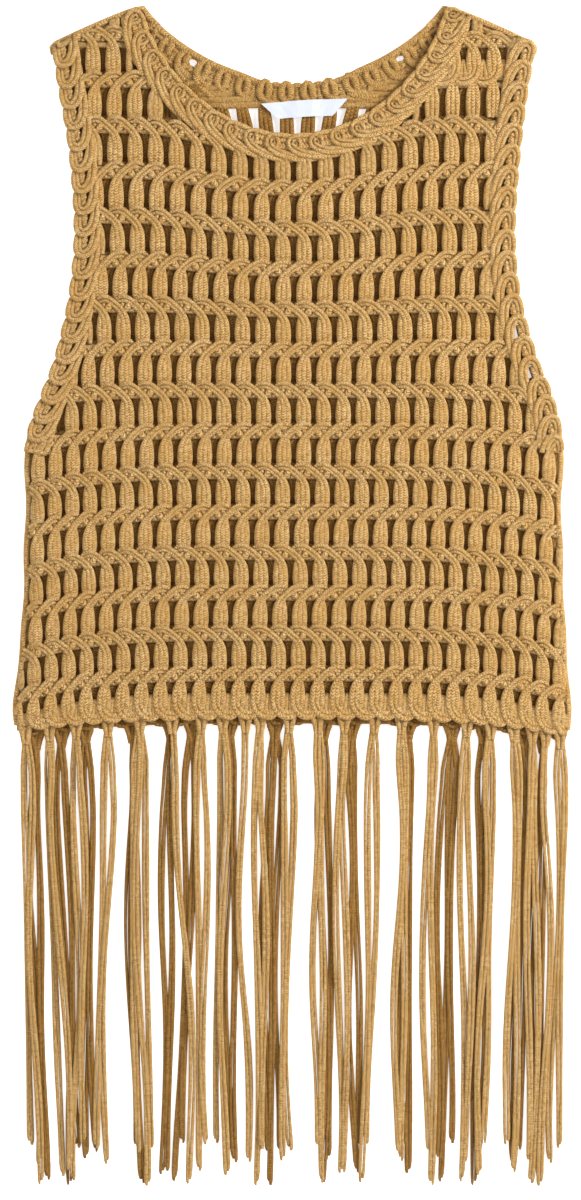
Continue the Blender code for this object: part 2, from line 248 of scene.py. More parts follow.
# One scallop of an armhole, which opens along its own sweep.
SCALLOP_OUTER = (
    (31.0, 19.4, 1.2, 1.3),
    (21.0, 19.0, 3.0, 1.9),
    (12.0, 17.8, 3.8, 2.0),
    (5.4, 15.2, 4.1, 2.0),
    (1.4, 11.4, 4.2, 2.0),
    (0.4, 7.2, 4.1, 2.0),
    (2.0, 3.8, 3.8, 2.0),
    (5.6, 2.2, 3.4, 1.9),
    (10.6, 2.1, 2.8, 1.8),
    (15.6, 2.6, 1.8, 1.5),
    (19.0, 4.4, 0.9, 1.0),
)
SCALLOP_INNER = (
    (27.0, 16.0, 1.0, 1.2),
    (18.6, 15.5, 2.6, 1.7),
    (12.0, 14.2, 3.3, 1.8),
    (7.0, 12.2, 3.6, 1.8),
    (4.0, 9.4, 3.6, 1.7),
    (3.7, 6.9, 3.5, 1.6),
    (5.7, 5.2, 3.0, 1.6),
    (10.2, 5.0, 2.4, 1.5),
    (15.0, 5.5, 1.4, 1.2),
)
SCALLOP_FILLS = (
    ((7.2, 6.9, 1.6, 1.2), (8.2, 8.6, 2.9, 1.5), (9.0, 10.6, 1.6, 1.2)),
    ((11.0, 6.8, 1.4, 1.2), (12.0, 8.8, 2.7, 1.5), (12.8, 10.8, 1.4, 1.2)),
)
SCALLOP_CORE = ((6.0, 8.6, 0.8, 2.2), (12.0, 8.6, 1.3, 2.6), (19.0, 8.4, 0.8, 2.3))
SCALLOP_TABLES = [
    (SCALLOP_OUTER, 16), (SCALLOP_INNER, 13), *[(bar, 5) for bar in SCALLOP_FILLS],
    (SCALLOP_CORE, 5),
]
SCALLOP_LENGTHS = [62.0, 50.0, 5.0, 5.0, 14.0, 250.0]
ARMHOLE_FILLERS = (  # across, up, half width: behind the gaps of the scallops
    (12.0, 1.2, 2.8), (19.5, 1.0, 2.9), (24.5, 0.9, 2.7)
)
OPEN_SCALLOPS = ((166.5, 243.5), (177.3, 274.5))  # gaps right through both layers
OPEN_REACH = 5.5
OPEN_WIDTH = 1.6  # the heart of an open scallop stands aside by this much
LOOP_PITCH = 15.0
ARMHOLE_PITCH = 16.0
ARCH_PITCH = 15.8
ARMHOLE_PHASE = {-1: 0.25, 1: 0.0}  # of a loop: where the first one stands
ARCH_PHASE = 0.16

HEM_TURN = 8.0  # below this, the hem's loops are fitted to the hem line
HEM_FOOT = 25.7

# The hem: the last row's crowns sweep on to the right under the next stitch.
HEM_OUTER = (
    (-3.7, 12.4, 2.4, 2.2),
    (-2.6, 17.6, 2.6, 2.0),
    (0.4, 21.6, 2.8, 2.0),
    (4.4, 24.0, 2.9, 2.0),
    (8.8, 24.5, 2.8, 2.0),
    (12.8, 23.0, 2.2, 1.8),
    (15.4, 20.2, 1.0, 1.2),
)
HEM_INNER = (
    (-0.4, 12.6, 2.4, 1.9),
    (0.9, 16.8, 2.5, 1.6),
    (3.8, 19.8, 2.5, 1.5),
    (8.0, 21.0, 2.3, 1.5),
    (12.2, 19.6, 1.2, 1.1),
)
HEM_FILLERS = (
    ((7.2, 6.2, 0.7, 0.9), (6.7, 10.5, 1.5, 1.7), (6.0, 20.0, 1.5, 2.0)),
    ((7.8, 6.2, 0.7, 0.9), (9.2, 10.5, 1.5, 1.7), (10.0, 20.0, 1.5, 2.0)),
)
# A loop of the neck's back, which stands like an arch.
ARCH = (
    (2.7, 15.2, 1.2, 2.2),
    (3.3, 11.5, 2.6, 2.6),
    (3.3, 7.6, 3.0, 2.65),
    (2.0, 4.2, 3.1, 2.6),
    (0.0, 2.9, 3.1, 2.6),
    (-2.0, 4.2, 3.1, 2.6),
    (-3.3, 7.6, 3.0, 2.65),
    (-3.2, 11.5, 2.8, 2.6),
    (-1.8, 15.0, 2.8, 2.3),
    (2.0, 17.4, 2.8, 2.1),
    (7.5, 18.6, 2.4, 2.0),
    (13.0, 18.4, 1.2, 1.6),
)
ARCH_EDGE = ((2.2, 6.6, 1.0, 1.5), (7.9, 3.9, 2.2, 2.1), (13.6, 6.6, 1.0, 1.5))
ARCH_BACK = ((7.9, 6.5, 0.6, 2.4), (7.9, 11.0, 0.9, 2.9), (7.9, 17.5, 0.7, 2.4))
ARCH_HEART = ((0.0, 5.0, 0.6, 1.5), (0.0, 11.0, 0.8, 1.8), (0.0, 18.0, 0.6, 1.6))
ARCH_TAIL = (  # the end of each arch's cord, which trails on under the next ones
    (-3.2, 15.0, 2.4, 2.0),
    (-0.5, 19.0, 3.0, 2.4),
    (5.0, 22.4, 3.2, 2.5),
    (11.5, 24.6, 2.9, 2.4),
    (18.0, 25.6, 1.6, 1.9),
)
TAIL_FROM = 30.0
TAIL_DEEPEST = 73.0
ARCH_TABLES = [
    (ARCH, 19), (ARCH_EDGE, 6), (ARCH_BACK, 4), (ARCH_HEART, 4), (ARCH_TAIL, 9),
]
ARCH_LENGTHS = [50.0, 12.0, 13.0, 13.0, 26.0, 120.0, 90.0]
SIDE_CORDS = (  # side, from the centre line, across, up, half width: along the back neck's edge
    (-1, 13.0, 2.5, 3.4, 2.5),
    (1, 24.0, 2.5, 3.4, 2.5),
    (-1, 76.0, 6.9, 2.8, 2.1),
    (1, 76.0, 6.9, 2.8, 2.1),
)
SIDE_STEP = 5.0
SHOULDER_ROLLS = ((7.4, 2.6, 2.3), (4.4, 2.4, 2.4), (2.2, 2.8, 2.2))  # up, down, half width
SHOULDER_FILLERS = ((6.6, 5.0), (10.4, 4.4), (14.0, 4.0))  # down, up

# Fringe.
FRINGE_STEPS = 44
CORD_PITCH = 4.7
FOLD_HALF = 1.35  # a flat cord shows two folds side by side
FRINGE_END = 868.0
FRINGE_UNEVEN = 16.0
HITCH_AT = 0.045  # of a cord's length, where each bundle is drawn together
CROSS_REACH = 6.2  # a front cord rises over a back one that is nearer than this
CROSS_EASE = 1.4
CROSS_RISE = 2.6
CORD_STAGGER = 0.8  # every other cord lies this much higher
HITCH_LEG = (  # share of the hitch's reach, below the hem, up, half width
    (0.8, 0.5, 0.2, 2.0), (0.5, 5.0, -0.3, 1.9), (0.3, 12.0, -1.4, 1.5)
)
FRONT_BUNDLES = (  # hem, middle, tip, cords
    (-201, -197, -195, 2),
    (-183, -178, -171, 2),
    (-163, -161, -160, 2),
    (-139, -142, -144, 2),
    (-115, -115, -112, 3),
    (-91, -82, -76, 1),
    (-69, -70, -66, 2),
    (-53, -54, -55, 2),
    (-36, -38, -35, 1),
    (-25, -26, -24, 2),
    (-3, -6, -4, 2),
    (18, 20, 18, 2),
    (38, 36, 36, 2),
    (61, 57, 55, 2),
    (81, 81, 80, 2),
    (105, 102, 101, 2),
    (130, 129, 128, 2),
    (148, 144, 142, 2),
    (165, 167, 162, 2),
    (179, 180, 176, 2),
    (189, 190, 186, 1),
    (200, 199, 197, 2),
)
BACK_BUNDLES = (
    (-193, -192, -189, 2),
    (-174, -171, -163, 2),
    (-156, -154, -151, 2),
    (-121, -119, -118, 2),
    (-92, -95, -97, 2),
    (-76, -81, -84, 2),
    (-48, -47, -45, 2),
    (-14, -16, -18, 3),
    (23, 24, 25, 2),
    (44, 44, 50, 2),
    (86, 85, 84, 2),
    (119, 115, 111, 3),
    (143, 140, 138, 2),
    (173, 170, 168, 2),
    (187, 184, 182, 2),
)

# Label.
LABEL_CENTRE_X = 8.5
LABEL_DROP = 78.4
LABEL_TOP = 65.0
LABEL_FOOT = 41.0
LABEL_HEIGHT = 12.5
LABEL_TILT = math.radians(3.4)
LABEL_UP = 7.2
LABEL_THICKNESS = 0.5

RIB_PITCH = 1.9
RIB_SLANT = 9.0
RIB_SHARE = 0.16  # of the ribs in the yarn's pattern, beside its loose fibres
FIBRE_SCALE = 560.0  # tufts of loose fibres 1.8 mm across, coarser than real so that they show
CLOUD_SCALE = 60.0  # patches of dye about 17 mm across
WARP_SCALE = 900.0  # satin threads 0.35 mm apart
CORD_SIDES = 8
COARSE_SIDES = 6  # where a cord lies behind others
WELD = 1e-7
CROWN_LENGTH = 48.0  # of one cord each, for the UV maps
INNER_LENGTH = 42.0
POST_LENGTH = 25.0
BAR_LENGTH = 6.0
CORE_LENGTH = 400.0
CORD_FLATNESS = 0.72

# Studio, in metres.
FLOOR_SIZE = 40.0
FLOOR_DROP = 0.0002
SOFTBOXES = (  # name, place, size, power
    ("right softbox", (1.5, 0.7, 1.25), 0.8, 60.0),
    ("left softbox", (-1.5, 0.5, 1.25), 0.9, 16.0),
    ("front softbox", (0.1, -1.7, 1.3), 0.9, 12.0),
)
CAMERA_PLACE = (-0.00129, -0.00425, 2.504)


def rgb(code):
    """Linear colour of an sRGB hex code."""
    parts = [int(code[n:n + 2], 16) / 255 for n in (1, 3, 5)]
    return [c / 12.92 if c <= 0.04045 else ((c + 0.055) / 1.055) ** 2.4 for c in parts] + [1.0]


def cloth_place(x, drop, up):
    return Vector(((x - CENTRE_X) * MM, (HALF_LENGTH - drop) * MM, up * MM))


def smooth_read(table, at, column):
    rows = [(row[0], row[column]) for row in table]
    at = min(max(at, rows[0][0]), rows[-1][0])
    i = max(n for n in range(len(rows) - 1) if rows[n][0] <= at)
    before = rows[max(i - 1, 0)]
    (low, start), (high, end) = rows[i], rows[i + 1]
    after = rows[min(i + 2, len(rows) - 1)]
    span = high - low
    t = (at - low) / span
    slope_in = (end - before[1]) / (high - before[0]) * span
    slope_out = (after[1] - start) / (after[0] - low) * span
    return (
        (2 * t**3 - 3 * t**2 + 1) * start
        + (t**3 - 2 * t**2 + t) * slope_in
        + (3 * t**2 - 2 * t**3) * end
        + (t**3 - t**2) * slope_out
    )


def reach(side, drop):
    return side * smooth_read(OUTLINE, drop, 1 if side < 0 else 2)


def shoulder(x):
    along = max(0.0, abs(x) - SHOULDER_POINT) / (SHOULDER_TIP - SHOULDER_POINT)
    return SHOULDER_FALL * along**SHOULDER_CURVE


def front_neckline(x):
    return FRONT_NECK_DROP * (1 - min(1.0, abs(x) / SHOULDER_POINT) ** 2) ** FRONT_NECK_CURVE


def back_neckline(x):
    return BACK_NECK_DROP * (1 - min(1.0, abs(x) / SHOULDER_POINT) ** 2) ** BACK_NECK_CURVE


def row_line(row, x):
    sag = NECK_SAG * min(1.0, max(0.0, 1 - (row - SAG_FROM_ROW) / SAG_ROWS)) ** SAG_EASE
    inside = max(0.0, 1 - (x / SAG_REACH) ** 2)
    grown = min(1.0, max(0.0, (row - DROOP_FROM_ROW) / DROOP_ROWS))
    droop = SIDE_DROOP * grown * (x / DROOP_REACH) ** 4
    return FIRST_ROW_DROP + ROW_PITCH * (row - 1) - sag * (1 - inside**2) + droop


def row_spread(row, x):
    """How much a row is stretched in height, where the neckband pulls its neighbours apart."""
    return min(MOST_SPREAD, (row_line(row + 0.5, x) - row_line(row - 0.5, x)) / ROW_PITCH)


def hem_room(layer, x):
    """How much the hem's loops are shortened or stretched to end on the hem line."""
    end = hem_line(x) + (FRONT_HEM_EXTRA if layer == "front" else BACK_HEM_EXTRA)
    return (end - row_line(LAST_ROW, x) - HEM_TURN) / (HEM_FOOT - HEM_TURN)


def hem_line(x):
    return HEM_DROP + HEM_DROOP[-1 if x < 0 else 1] * abs(x / HEM_REACH) ** 3


def column_x(row, column):
    """Where a column crosses a row. The upper rows are stretched, the lower ones drift left."""
    stretch = smooth_read(ROW_STRETCH, row, 1)
    drift = ROW_DRIFT * max(0, row - DRIFT_FROM_ROW)
    return stretch * (COLUMN_PITCH * column - COLUMN_SQUEEZE * column**3) + drift


def evenly(points, spacing):
    """Points at even steps along a line of points, each with the line's direction there."""
    steps = [math.dist(a, b) for a, b in zip(points, points[1:])]
    count = max(2, round(sum(steps) / spacing))
    stations = []
    i, walked = 0, 0.0
    for n in range(count + 1):
        wanted = sum(steps) * n / count
        while i < len(steps) - 1 and walked + steps[i] < wanted:
            walked += steps[i]
            i += 1
        a, b = points[i], points[i + 1]
        t = (wanted - walked) / steps[i]
        along = ((b[0] - a[0]) / steps[i], (b[1] - a[1]) / steps[i])
        stations.append(((a[0] + (b[0] - a[0]) * t, a[1] + (b[1] - a[1]) * t), along))
    return stations


def neck_edge(neckline):
    angles = [math.pi * n / 90 for n in range(91)]
    xs = [-SHOULDER_POINT * math.cos(angle) for angle in angles]
    return [(x, neckline(x)) for x in xs]


def armhole_edge(side):
    drops = [SHOULDER_FALL + (UNDERARM_DROP - SHOULDER_FALL) * n / 60 for n in range(61)]
    return [(reach(side, drop), drop) for drop in drops]


def read_line(line, at, key, value):
    """The other coordinate of a line of points where one coordinate has a value."""
    line = sorted(line, key=lambda point: point[key])
    if at <= line[0][key] or at >= line[-1][key]:
        return None
    for a, b in zip(line, line[1:]):
        if a[key] <= at <= b[key]:
            t = (at - a[key]) / max(1e-6, b[key] - a[key])
            return a[value] + (b[value] - a[value]) * t
    return None


def offset_line(edge, width, turn):
    stations = evenly(edge, 5.0)
    return [(p[0] - turn * width * d[1], p[1] + turn * width * d[0]) for p, d in stations]


NECK_INNER = {
    "front": offset_line(neck_edge(front_neckline), FRONT_NECK_BAND - UNDER_BAND, 1),
    "back": offset_line(neck_edge(back_neckline), BACK_NECK_BAND - UNDER_BAND, 1),
}
ARM_INNER = {
    side: offset_line(armhole_edge(side), ARMHOLE_BAND - UNDER_BAND, side) for side in (-1, 1)
}


def in_cloth(layer, x, drop):
    """Whether a place belongs to a panel, and not to the bands round it."""
    side = -1 if x < 0 else 1
    if drop < shoulder(x) + SHOULDER_MARGIN or drop > hem_line(x) + HEM_MARGIN[layer]:
        return False
    neck = read_line(NECK_INNER[layer], x, 0, 1)
    if neck is not None and drop < neck:
        return False
    arm = read_line(ARM_INNER[side], drop, 1, 0)
    if arm is not None:
        return abs(x) < abs(arm) - BAND_MARGIN
    if drop > UNDERARM_DROP - 10:
        return abs(x) < abs(reach(side, drop)) - SIDE_MARGIN
    return abs(x) < abs(ARM_INNER[side][0][0]) - BAND_MARGIN


def fold_fall(x, drop):
    """How far the cloth has curved down towards the table at a side fold."""
    if drop < UNDERARM_DROP - 20:
        return 0.0
    side = -1 if x < 0 else 1
    near = 1 - min(1.0, max(0.0, (abs(reach(side, drop)) - abs(x)) / FOLD_REACH))
    return near**2


def smooth_route(points, count):
    """A smooth line of count points through a few (x, drop, up, half width) places."""
    ends = [points[0], *points, points[-1]]
    lengths = [math.dist(a[:2], b[:2]) for a, b in zip(points, points[1:])]
    total = sum(lengths)
    made = []
    for n in range(count):
        wanted = total * n / (count - 1)
        i = 0
        while i < len(lengths) - 1 and wanted > lengths[i]:
            wanted -= lengths[i]
            i += 1
        t = min(1.0, wanted / lengths[i])
        p0, p1, p2, p3 = ends[i:i + 4]
        made.append(tuple(
            0.5 * (2 * b + (c - a) * t + (2 * a - 5 * b + 4 * c - d) * t**2
                   + (3 * b - a - 3 * c + d) * t**3)
            for a, b, c, d in zip(p0, p1, p2, p3)
        ))
    return made


def kept_run(route, allowed):
    """The longest part of a route whose places are allowed, or nothing if it is too short."""
    best, run = [], []
    for point in route + [None]:
        if point is not None and allowed(point[0], point[1]):
            run.append(point)
            continue
        if len(run) > len(best):
            best = run
        run = []
    return best if len(best) >= max(FEWEST_POINTS, LEAST_KEPT * len(route)) else []


def lay_cords(name, routes, length, sides=CORD_SIDES):
    """One mesh of flattened cords along the routes, with its UV map in millimetres."""
    ring = bpy.data.curves.new(name + "_section", "CURVE")
    outline = ring.splines.new("POLY")
    outline.points.add(sides - 1)
    outline.use_cyclic_u = True
    for n, point in enumerate(outline.points):
        angle = 2 * math.pi * n / sides
        point.co = (math.cos(angle), CORD_FLATNESS * math.sin(angle), 0, 1)
    section = bpy.data.objects.new(name + "_section", ring)
    path = bpy.data.curves.new(name, "CURVE")
    path.dimensions = "3D"
    path.bevel_mode = "OBJECT"
    path.bevel_object = section
    path.use_fill_caps = True
    path.twist_mode = "Z_UP"
    for route in routes:
        spline = path.splines.new("POLY")
        spline.points.add(len(route) - 1)
        spline.use_smooth = True
        for point, (x, drop, up, half) in zip(spline.points, route):
            point.co = (*cloth_place(x, drop, up), 1)
            point.radius = half * MM
    cords = bpy.data.objects.new(name + "_path", path)
    bpy.context.collection.objects.link(cords)
    graph = bpy.context.evaluated_depsgraph_get()
    mesh = bpy.data.meshes.new_from_object(cords.evaluated_get(graph))
    bpy.data.objects.remove(cords)
    bpy.data.objects.remove(section)
    bpy.data.curves.remove(path)
    bpy.data.curves.remove(ring)
    skin = bmesh.new()
    skin.from_mesh(mesh)
    bpy.data.meshes.remove(mesh)
    bmesh.ops.remove_doubles(skin, verts=skin.verts, dist=WELD)
    layer = skin.loops.layers.uv.verify()
    for face in skin.faces:
        face.smooth = True
        for loop in face.loops:
            loop[layer].uv = (loop[layer].uv.x * length, loop[layer].uv.y)
    return skin


def piece(name, skins, material, slot, *nodes):
    """One object from several skins, which rides on the garment."""
    whole = bmesh.new()
    for skin in skins:
        part = bpy.data.meshes.new("part")
        skin.to_mesh(part)
        skin.free()
        whole.from_mesh(part)
        bpy.data.meshes.remove(part)
    mesh = bpy.data.meshes.new(name)
    whole.to_mesh(mesh)
    whole.free()
    obj = bpy.data.objects.new(name, mesh)
    mesh.materials.append(material)
    bpy.context.collection.objects.link(obj)
    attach(obj, "root")
    if nodes:
        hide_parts(*nodes)
    return obj


def stitch_route(table, count, layer, row, column, lean, fan=0.0):
    """A cord of one stitch, bent to its row's line and to the side fold."""
    base = FRONT_LAYER if layer == "front" else BACK_LAYER
    route = []
    for across, down, up, half in smooth_route(table, count):
        x = column_x(row, column + lean * across / COLUMN_PITCH) + fan * (FAN_DOWN - down)
        if row == LAST_ROW and down > HEM_TURN:
            down = HEM_TURN + (down - HEM_TURN) * hem_room(layer, x)
        drop = row_line(row, x) + down * row_spread(row, x)
        if layer == "front" and row == 1 and x < -SHOULDERS_FROM:
            drop -= SHOULDER_LIFT * min(1.0, max(0.0, (12 - down) / 16))
        fall = fold_fall(x, drop)
        height = base + up * (1 - FOLD_THIN * fall) + FOLD_SHIFT[layer] * fall
        route.append((x, drop, height, half))
    return kept_run(route, lambda x, drop: in_cloth(layer, x, drop))


def column_shift(layer, row, column):
    """The front's stitches stand between the back's. The back's move over in the neck opening."""
    if layer == "front":
        return 0.5
    if row > 2:
        return 0.0
    return BACK_NECK_SHIFT * min(1.0, max(0.0, 1 - (abs(COLUMN_PITCH * column) - 75) / 30))


def stitch_kind(layer, row, x):
    if row == LAST_ROW or (layer == "front" and row == 1 and x > SHOULDERS_FROM):
        return "hem"
    if layer == "front" and row == 2 and x > SHOULDERS_FROM:
        return "gathered"
    return "plain" if layer == "back" and row == 2 and abs(x) < NECK_POSTS_REACH else "crowned"


def panel_cords(layer):
    """The routes of every stitch of a panel: crowns, inner crown cords, post sides and chain bars.
    """
    fine = layer == "front"
    crowns, inners, posts, bars = [], [], [], []
    for row in range(LAST_ROW + 1):
        lean = 1 if row % 2 == 0 else -1
        for column in range(-COLUMNS, COLUMNS + 1):
            place = column + column_shift(layer, row, column)
            at = (layer, row, place, lean)
            kind = stitch_kind(layer, row, column_x(row, place))
            if kind in ("plain", "gathered"):
                strands = PLAIN_POSTS if kind == "plain" else GATHERED_POSTS
                fan = column_x(row, place) / POST_FAN if kind == "plain" else 0.0
                posts += [stitch_route(strand, 10, *at, fan) for strand in strands]
                continue
            hem = kind == "hem"
            outer = CROWN_OUTER[:-2] + HEM_OUTER if hem else CROWN_OUTER
            inner = CROWN_INNER[:-2] + HEM_INNER if hem else CROWN_INNER
            crowns.append(stitch_route(outer, (17 if fine else 12) + 6 * hem, *at))
            inners.append(stitch_route(inner, (15 if fine else 11) + 5 * hem, *at))
            posts.append(stitch_route(POST_SIDE, 8 if fine else 6, *at))
            if hem:
                posts += [stitch_route(filler, 6, *at) for filler in HEM_FILLERS]
            if fine or row < 4:
                bars += [stitch_route(bar, 5, *at) for bar in CHAIN_BARS]
    return [[route for route in kind if route] for kind in (crowns, inners, posts, bars)]


def core_cords(layer):
    """Cords along the top of each row, behind the chain bars, and the hem's own cord."""
    front = layer == "front"
    base = FRONT_LAYER if front else BACK_LAYER
    lines = [
        (row, *line) for row in range(LAST_ROW + 1)
        for line in (CORE_LINES if front else (*CORE_LINES[:1 + (row < 4)], BACK_CORE))
    ]
    routes = []
    for row, down, up, half in lines:
        runs, run = [], []
        for n in range(-64, 65):
            x = column_x(row, n / 4)
            drop = row_line(row, x) + down * row_spread(row, x)
            if in_cloth(layer, x, drop) and stitch_kind(layer, row, x) != "plain":
                run.append((x, drop, base + up - 1.6 * fold_fall(x, drop) * front, half))
            elif run:
                runs.append(run)
                run = []
        routes += [run for run in [*runs, run] if len(run) > 2]
    lower, above, up, half = HEM_CORE[layer]
    routes.append([
        (x, hem_line(x) + lower - above, base + up, half) for x in range(-196, 197, 7)
    ])
    return routes


def along_edge(edge):
    """A reader of places on a line: along it in millimetres, and across it into the cloth."""
    steps = [0.0]
    for a, b in zip(edge, edge[1:]):
        steps.append(steps[-1] + math.dist(a, b))

    def read(along, across, turn):
        i = max(0, min(len(edge) - 2, sum(1 for s in steps if s <= along) - 1))
        (ax, ad), (bx, bd) = edge[i], edge[i + 1]
        span = steps[i + 1] - steps[i]
        t = (along - steps[i]) / span
        before, after = edge[max(i - 1, 0)], edge[min(i + 2, len(edge) - 1)]
        first = Vector((bx - before[0], bd - before[1])).normalized()
        second = Vector((after[0] - ax, after[1] - ad)).normalized()
        run = (first * (1 - min(1.0, max(0.0, t))) + second * min(1.0, max(0.0, t))).normalized()
        x, drop = ax + (bx - ax) * t, ad + (bd - ad) * t
        return x - turn * across * run.y, drop + turn * across * run.x

    return read, steps[-1]


def band_cords(edge, turn, sweep, base, tables, pitch, phase=0.5):
    """A row of loops along an edge. sweep is 1 where the loops trail along it, -1 against it."""
    read, total = along_edge(edge)
    count = round(total / pitch)
    kinds = [[] for _ in tables]
    for n in range(-2, count + 3):
        for kind, (table, points) in zip(kinds, tables):
            route = []
            for along, across, up, half in smooth_route(table, points):
                s = (n + phase) * total / count + sweep * along
                if -12 < s < total + 12:
                    x, drop = read(s, across, turn)
                    route.append((x, drop, base + up, half))
            route = kept_run(route, lambda x, drop: drop > shoulder(x) + 1.2)
            if route:
                kind.append(route)
    return kinds


def in_opening(side, x, drop):
    return side > 0 and any(math.dist((x, drop), place) < OPEN_REACH for place in OPEN_SCALLOPS)


def edge_fillers(edge, turn, base, lines, allowed):
    """Long cords along a band, low down behind its loops, wherever they are allowed."""
    read, total = along_edge(edge)
    routes = []
    for across, up, half in lines:
        run = []
        for n in range(int(total / 3)):
            x, drop = read(3.0 * n + 4, across, turn)
            if allowed(x, drop) and drop > shoulder(x) + 2.5:
                run.append((x, drop, base + up, half))
            else:
                routes.append(run)
                run = []
        routes.append(run)
    return [route for route in routes if len(route) > 1]


def armhole_cords(side, layer):
    """The scallops of one armhole, with what fills them from behind."""
    base = FRONT_BAND_BASE if layer == "front" else BACK_LAYER
    edge = armhole_edge(side)
    kinds = band_cords(
        edge, side, side, base, SCALLOP_TABLES, ARMHOLE_PITCH, ARMHOLE_PHASE[side]
    )
    kinds[2:-1] = [
        [route for route in kind if not in_opening(side, *route[2][:2])] for kind in kinds[2:-1]
    ]
    cores = []
    for route in kinds[-1]:
        aside = OPEN_WIDTH * in_opening(side, *route[2][:2])
        cores.append([(x + aside, drop, up, half) for x, drop, up, half in route])
    kinds[-1] = cores
    if layer == "front":
        return kinds

    def closed(x, drop):
        return not in_opening(side, x, drop)

    return kinds + [edge_fillers(edge, side, base, ARMHOLE_FILLERS, closed)]


def clear_of_dots(x, drop):
    return all(math.dist((x, drop), dot) > DOT_REACH for dot in NECK_DOTS)


def parted(route):
    """The same cord, led round the small gaps of the back band."""
    made = []
    for i, (x, drop, up, half) in enumerate(route):
        before, after = route[max(i - 1, 0)], route[min(i + 1, len(route) - 1)]
        run = Vector((after[0] - before[0], after[1] - before[1])).normalized()
        beside = Vector((-run.y, run.x))
        for dot in NECK_DOTS:
            off = Vector((x - dot[0], drop - dot[1]))
            room = DOT_RADIUS + half
            if off.length < room:
                ahead = off.dot(run)
                turn = 1 if off.dot(beside) > 0 else -1
                x, drop = Vector(dot) + run * ahead + beside * turn * math.sqrt(room**2 - ahead**2)
        made.append((x, drop, up, half))
    return made


def back_neck_cords():
    """The arches of the back neck, with what fills them from behind and the gaps left open."""
    edge = neck_edge(back_neckline)
    kinds = band_cords(edge, 1, 1, BACK_LAYER, ARCH_TABLES, ARCH_PITCH, ARCH_PHASE)
    kinds[:2] = [[parted(route) for route in kind] for kind in kinds[:2]]
    kinds[2:] = [
        [route for route in kind if all(clear_of_dots(*point[:2]) for point in route)]
        for kind in kinds[2:]
    ]
    kinds[-1] = [
        route for route in kinds[-1]
        if abs(route[-1][0]) > TAIL_FROM and max(point[1] for point in route) < TAIL_DEEPEST
    ]
    fillers = edge_fillers(edge, 1, BACK_LAYER, ARCH_FILLERS, clear_of_dots)
    fillers += edge_fillers(
        edge, 1, BACK_LAYER, BACK_SIDE_FILLERS, lambda x, drop: abs(x) > BACK_SIDES_FROM
    )
    fillers += edge_fillers(
        neck_edge(front_neckline), 1, BACK_LAYER, UNDER_NECK_FILLERS,
        lambda x, drop: abs(x) > UNDER_NECK_FROM,
    )
    fillers += [route for route in shelf_cords() if len(route) > 1]
    return kinds + [fillers, [parted(route) for route in side_cords()]]


def shelf_cords():
    """Short cords across the back under its neckband, which the tops of the white gaps end on."""
    return [
        [
            (side * x, drop + 0.02 * x, BACK_LAYER + 2.3, 2.6)
            for x in range(SHELF_FROM, 105, 4) if in_cloth("back", side * x, drop)
        ]
        for side in (-1, 1) for drop in SHELF_DROPS
    ]


def fold_cords():
    """The smooth edge down each side, from the underarm to the hem."""
    routes = []
    for side in (-1, 1):
        top = UNDERARM_DROP - 8
        length = hem_line(side * HEM_REACH) - UNDERARM_DROP + 5
        for inwards, up, half in EDGE_CORDS:
            route = []
            for step in range(EDGE_STEPS + 1):
                drop = top + length * step / EDGE_STEPS
                ripple = EDGE_RIPPLE * math.sin(math.pi * drop / ROW_PITCH)
                route.append((reach(side, drop) - side * (inwards + ripple), drop, up, half))
            routes.append(route)
    return routes


def side_cords():
    """Smooth cords along the back neck's edge, from near its middle up to each shoulder."""
    read, total = along_edge(neck_edge(back_neckline))
    routes = []
    for side, start, across, up, half in SIDE_CORDS:
        route = []
        for n in range(int((total / 2 - start - 4) / SIDE_STEP) + 1):
            ease = min(1.0, 0.4 + SIDE_STEP * n / 45)
            x, drop = read(total / 2 + side * (start + SIDE_STEP * n), across + 4 * (1 - ease), 1)
            route.append((x, drop, BACK_LAYER + up * (0.6 + 0.4 * ease), half * ease))
        routes.append(route)
    return routes


def shoulder_cords():
    """The rolled edge where the front turns over the shoulders into the back."""
    routes = []
    for side in (-1, 1):
        tip = SHOULDER_TIP - 1.2
        xs = [SHOULDER_POINT + 5 + 5 * n for n in range(13)]
        for up, off, half in SHOULDER_ROLLS:
            route = [(x, back_neckline(x) + 2.6, min(up, 4.8), half) for x in (101.0, 106.0, 110.0)]
            route.append((SHOULDER_POINT - 0.4, off + 0.4, up - 0.4, half))
            route += [(x, shoulder(x) + off, up, half) for x in xs]
            route += [(tip, shoulder(tip) + off + 1.6, up - 0.5, half)]
            route += [(tip - 0.4, shoulder(tip) + off + 5.5, max(up - 1.5, 1.5), half * 0.8)]
            routes.append([(side * x, drop, height, wide) for x, drop, height, wide in route])
        for off, up in SHOULDER_FILLERS:
            xs = [126.0 + 5 * n for n in range(11)]
            routes.append([(side * x, shoulder(x) + off, up, 2.3) for x in xs])
    return routes


def wave(n, order, drop):
    """How a bundle wanders to the side, and each of its cords a little within it."""
    phase = 1.7 * order
    together = 1.8 * math.sin(drop / 58 + phase)
    own = 1.6 * math.sin(drop / (38 + 9 * (order % 3)) + 2.3 * phase + 2.9 * n)
    return (together + own) * min(1.0, max(0.0, (drop - HEM_DROP) / 70))


def strand(bundle, order, n, hem_extra):
    """One fringe cord from the hem to its tip: x and drop of its middle."""
    hem, middle, tip, cords = bundle
    off = (n - (cords - 1) / 2) * CORD_PITCH
    end = FRINGE_END + FRINGE_UNEVEN * math.sin(2.3 * n + 1.7 * order)
    start = hem_line(hem) + hem_extra - 6
    places = []
    for step in range(FRINGE_STEPS + 1):
        t = step / FRINGE_STEPS
        x = (1 - t) * (1 - 2 * t) * hem + 4 * t * (1 - t) * middle + t * (2 * t - 1) * tip
        drop = start + (end - start) * t
        gather = 1 - 0.8 * max(0.0, 1 - abs(t - HITCH_AT) * 16)
        places.append((x + off * gather + wave(n, order, drop), drop))
    return places


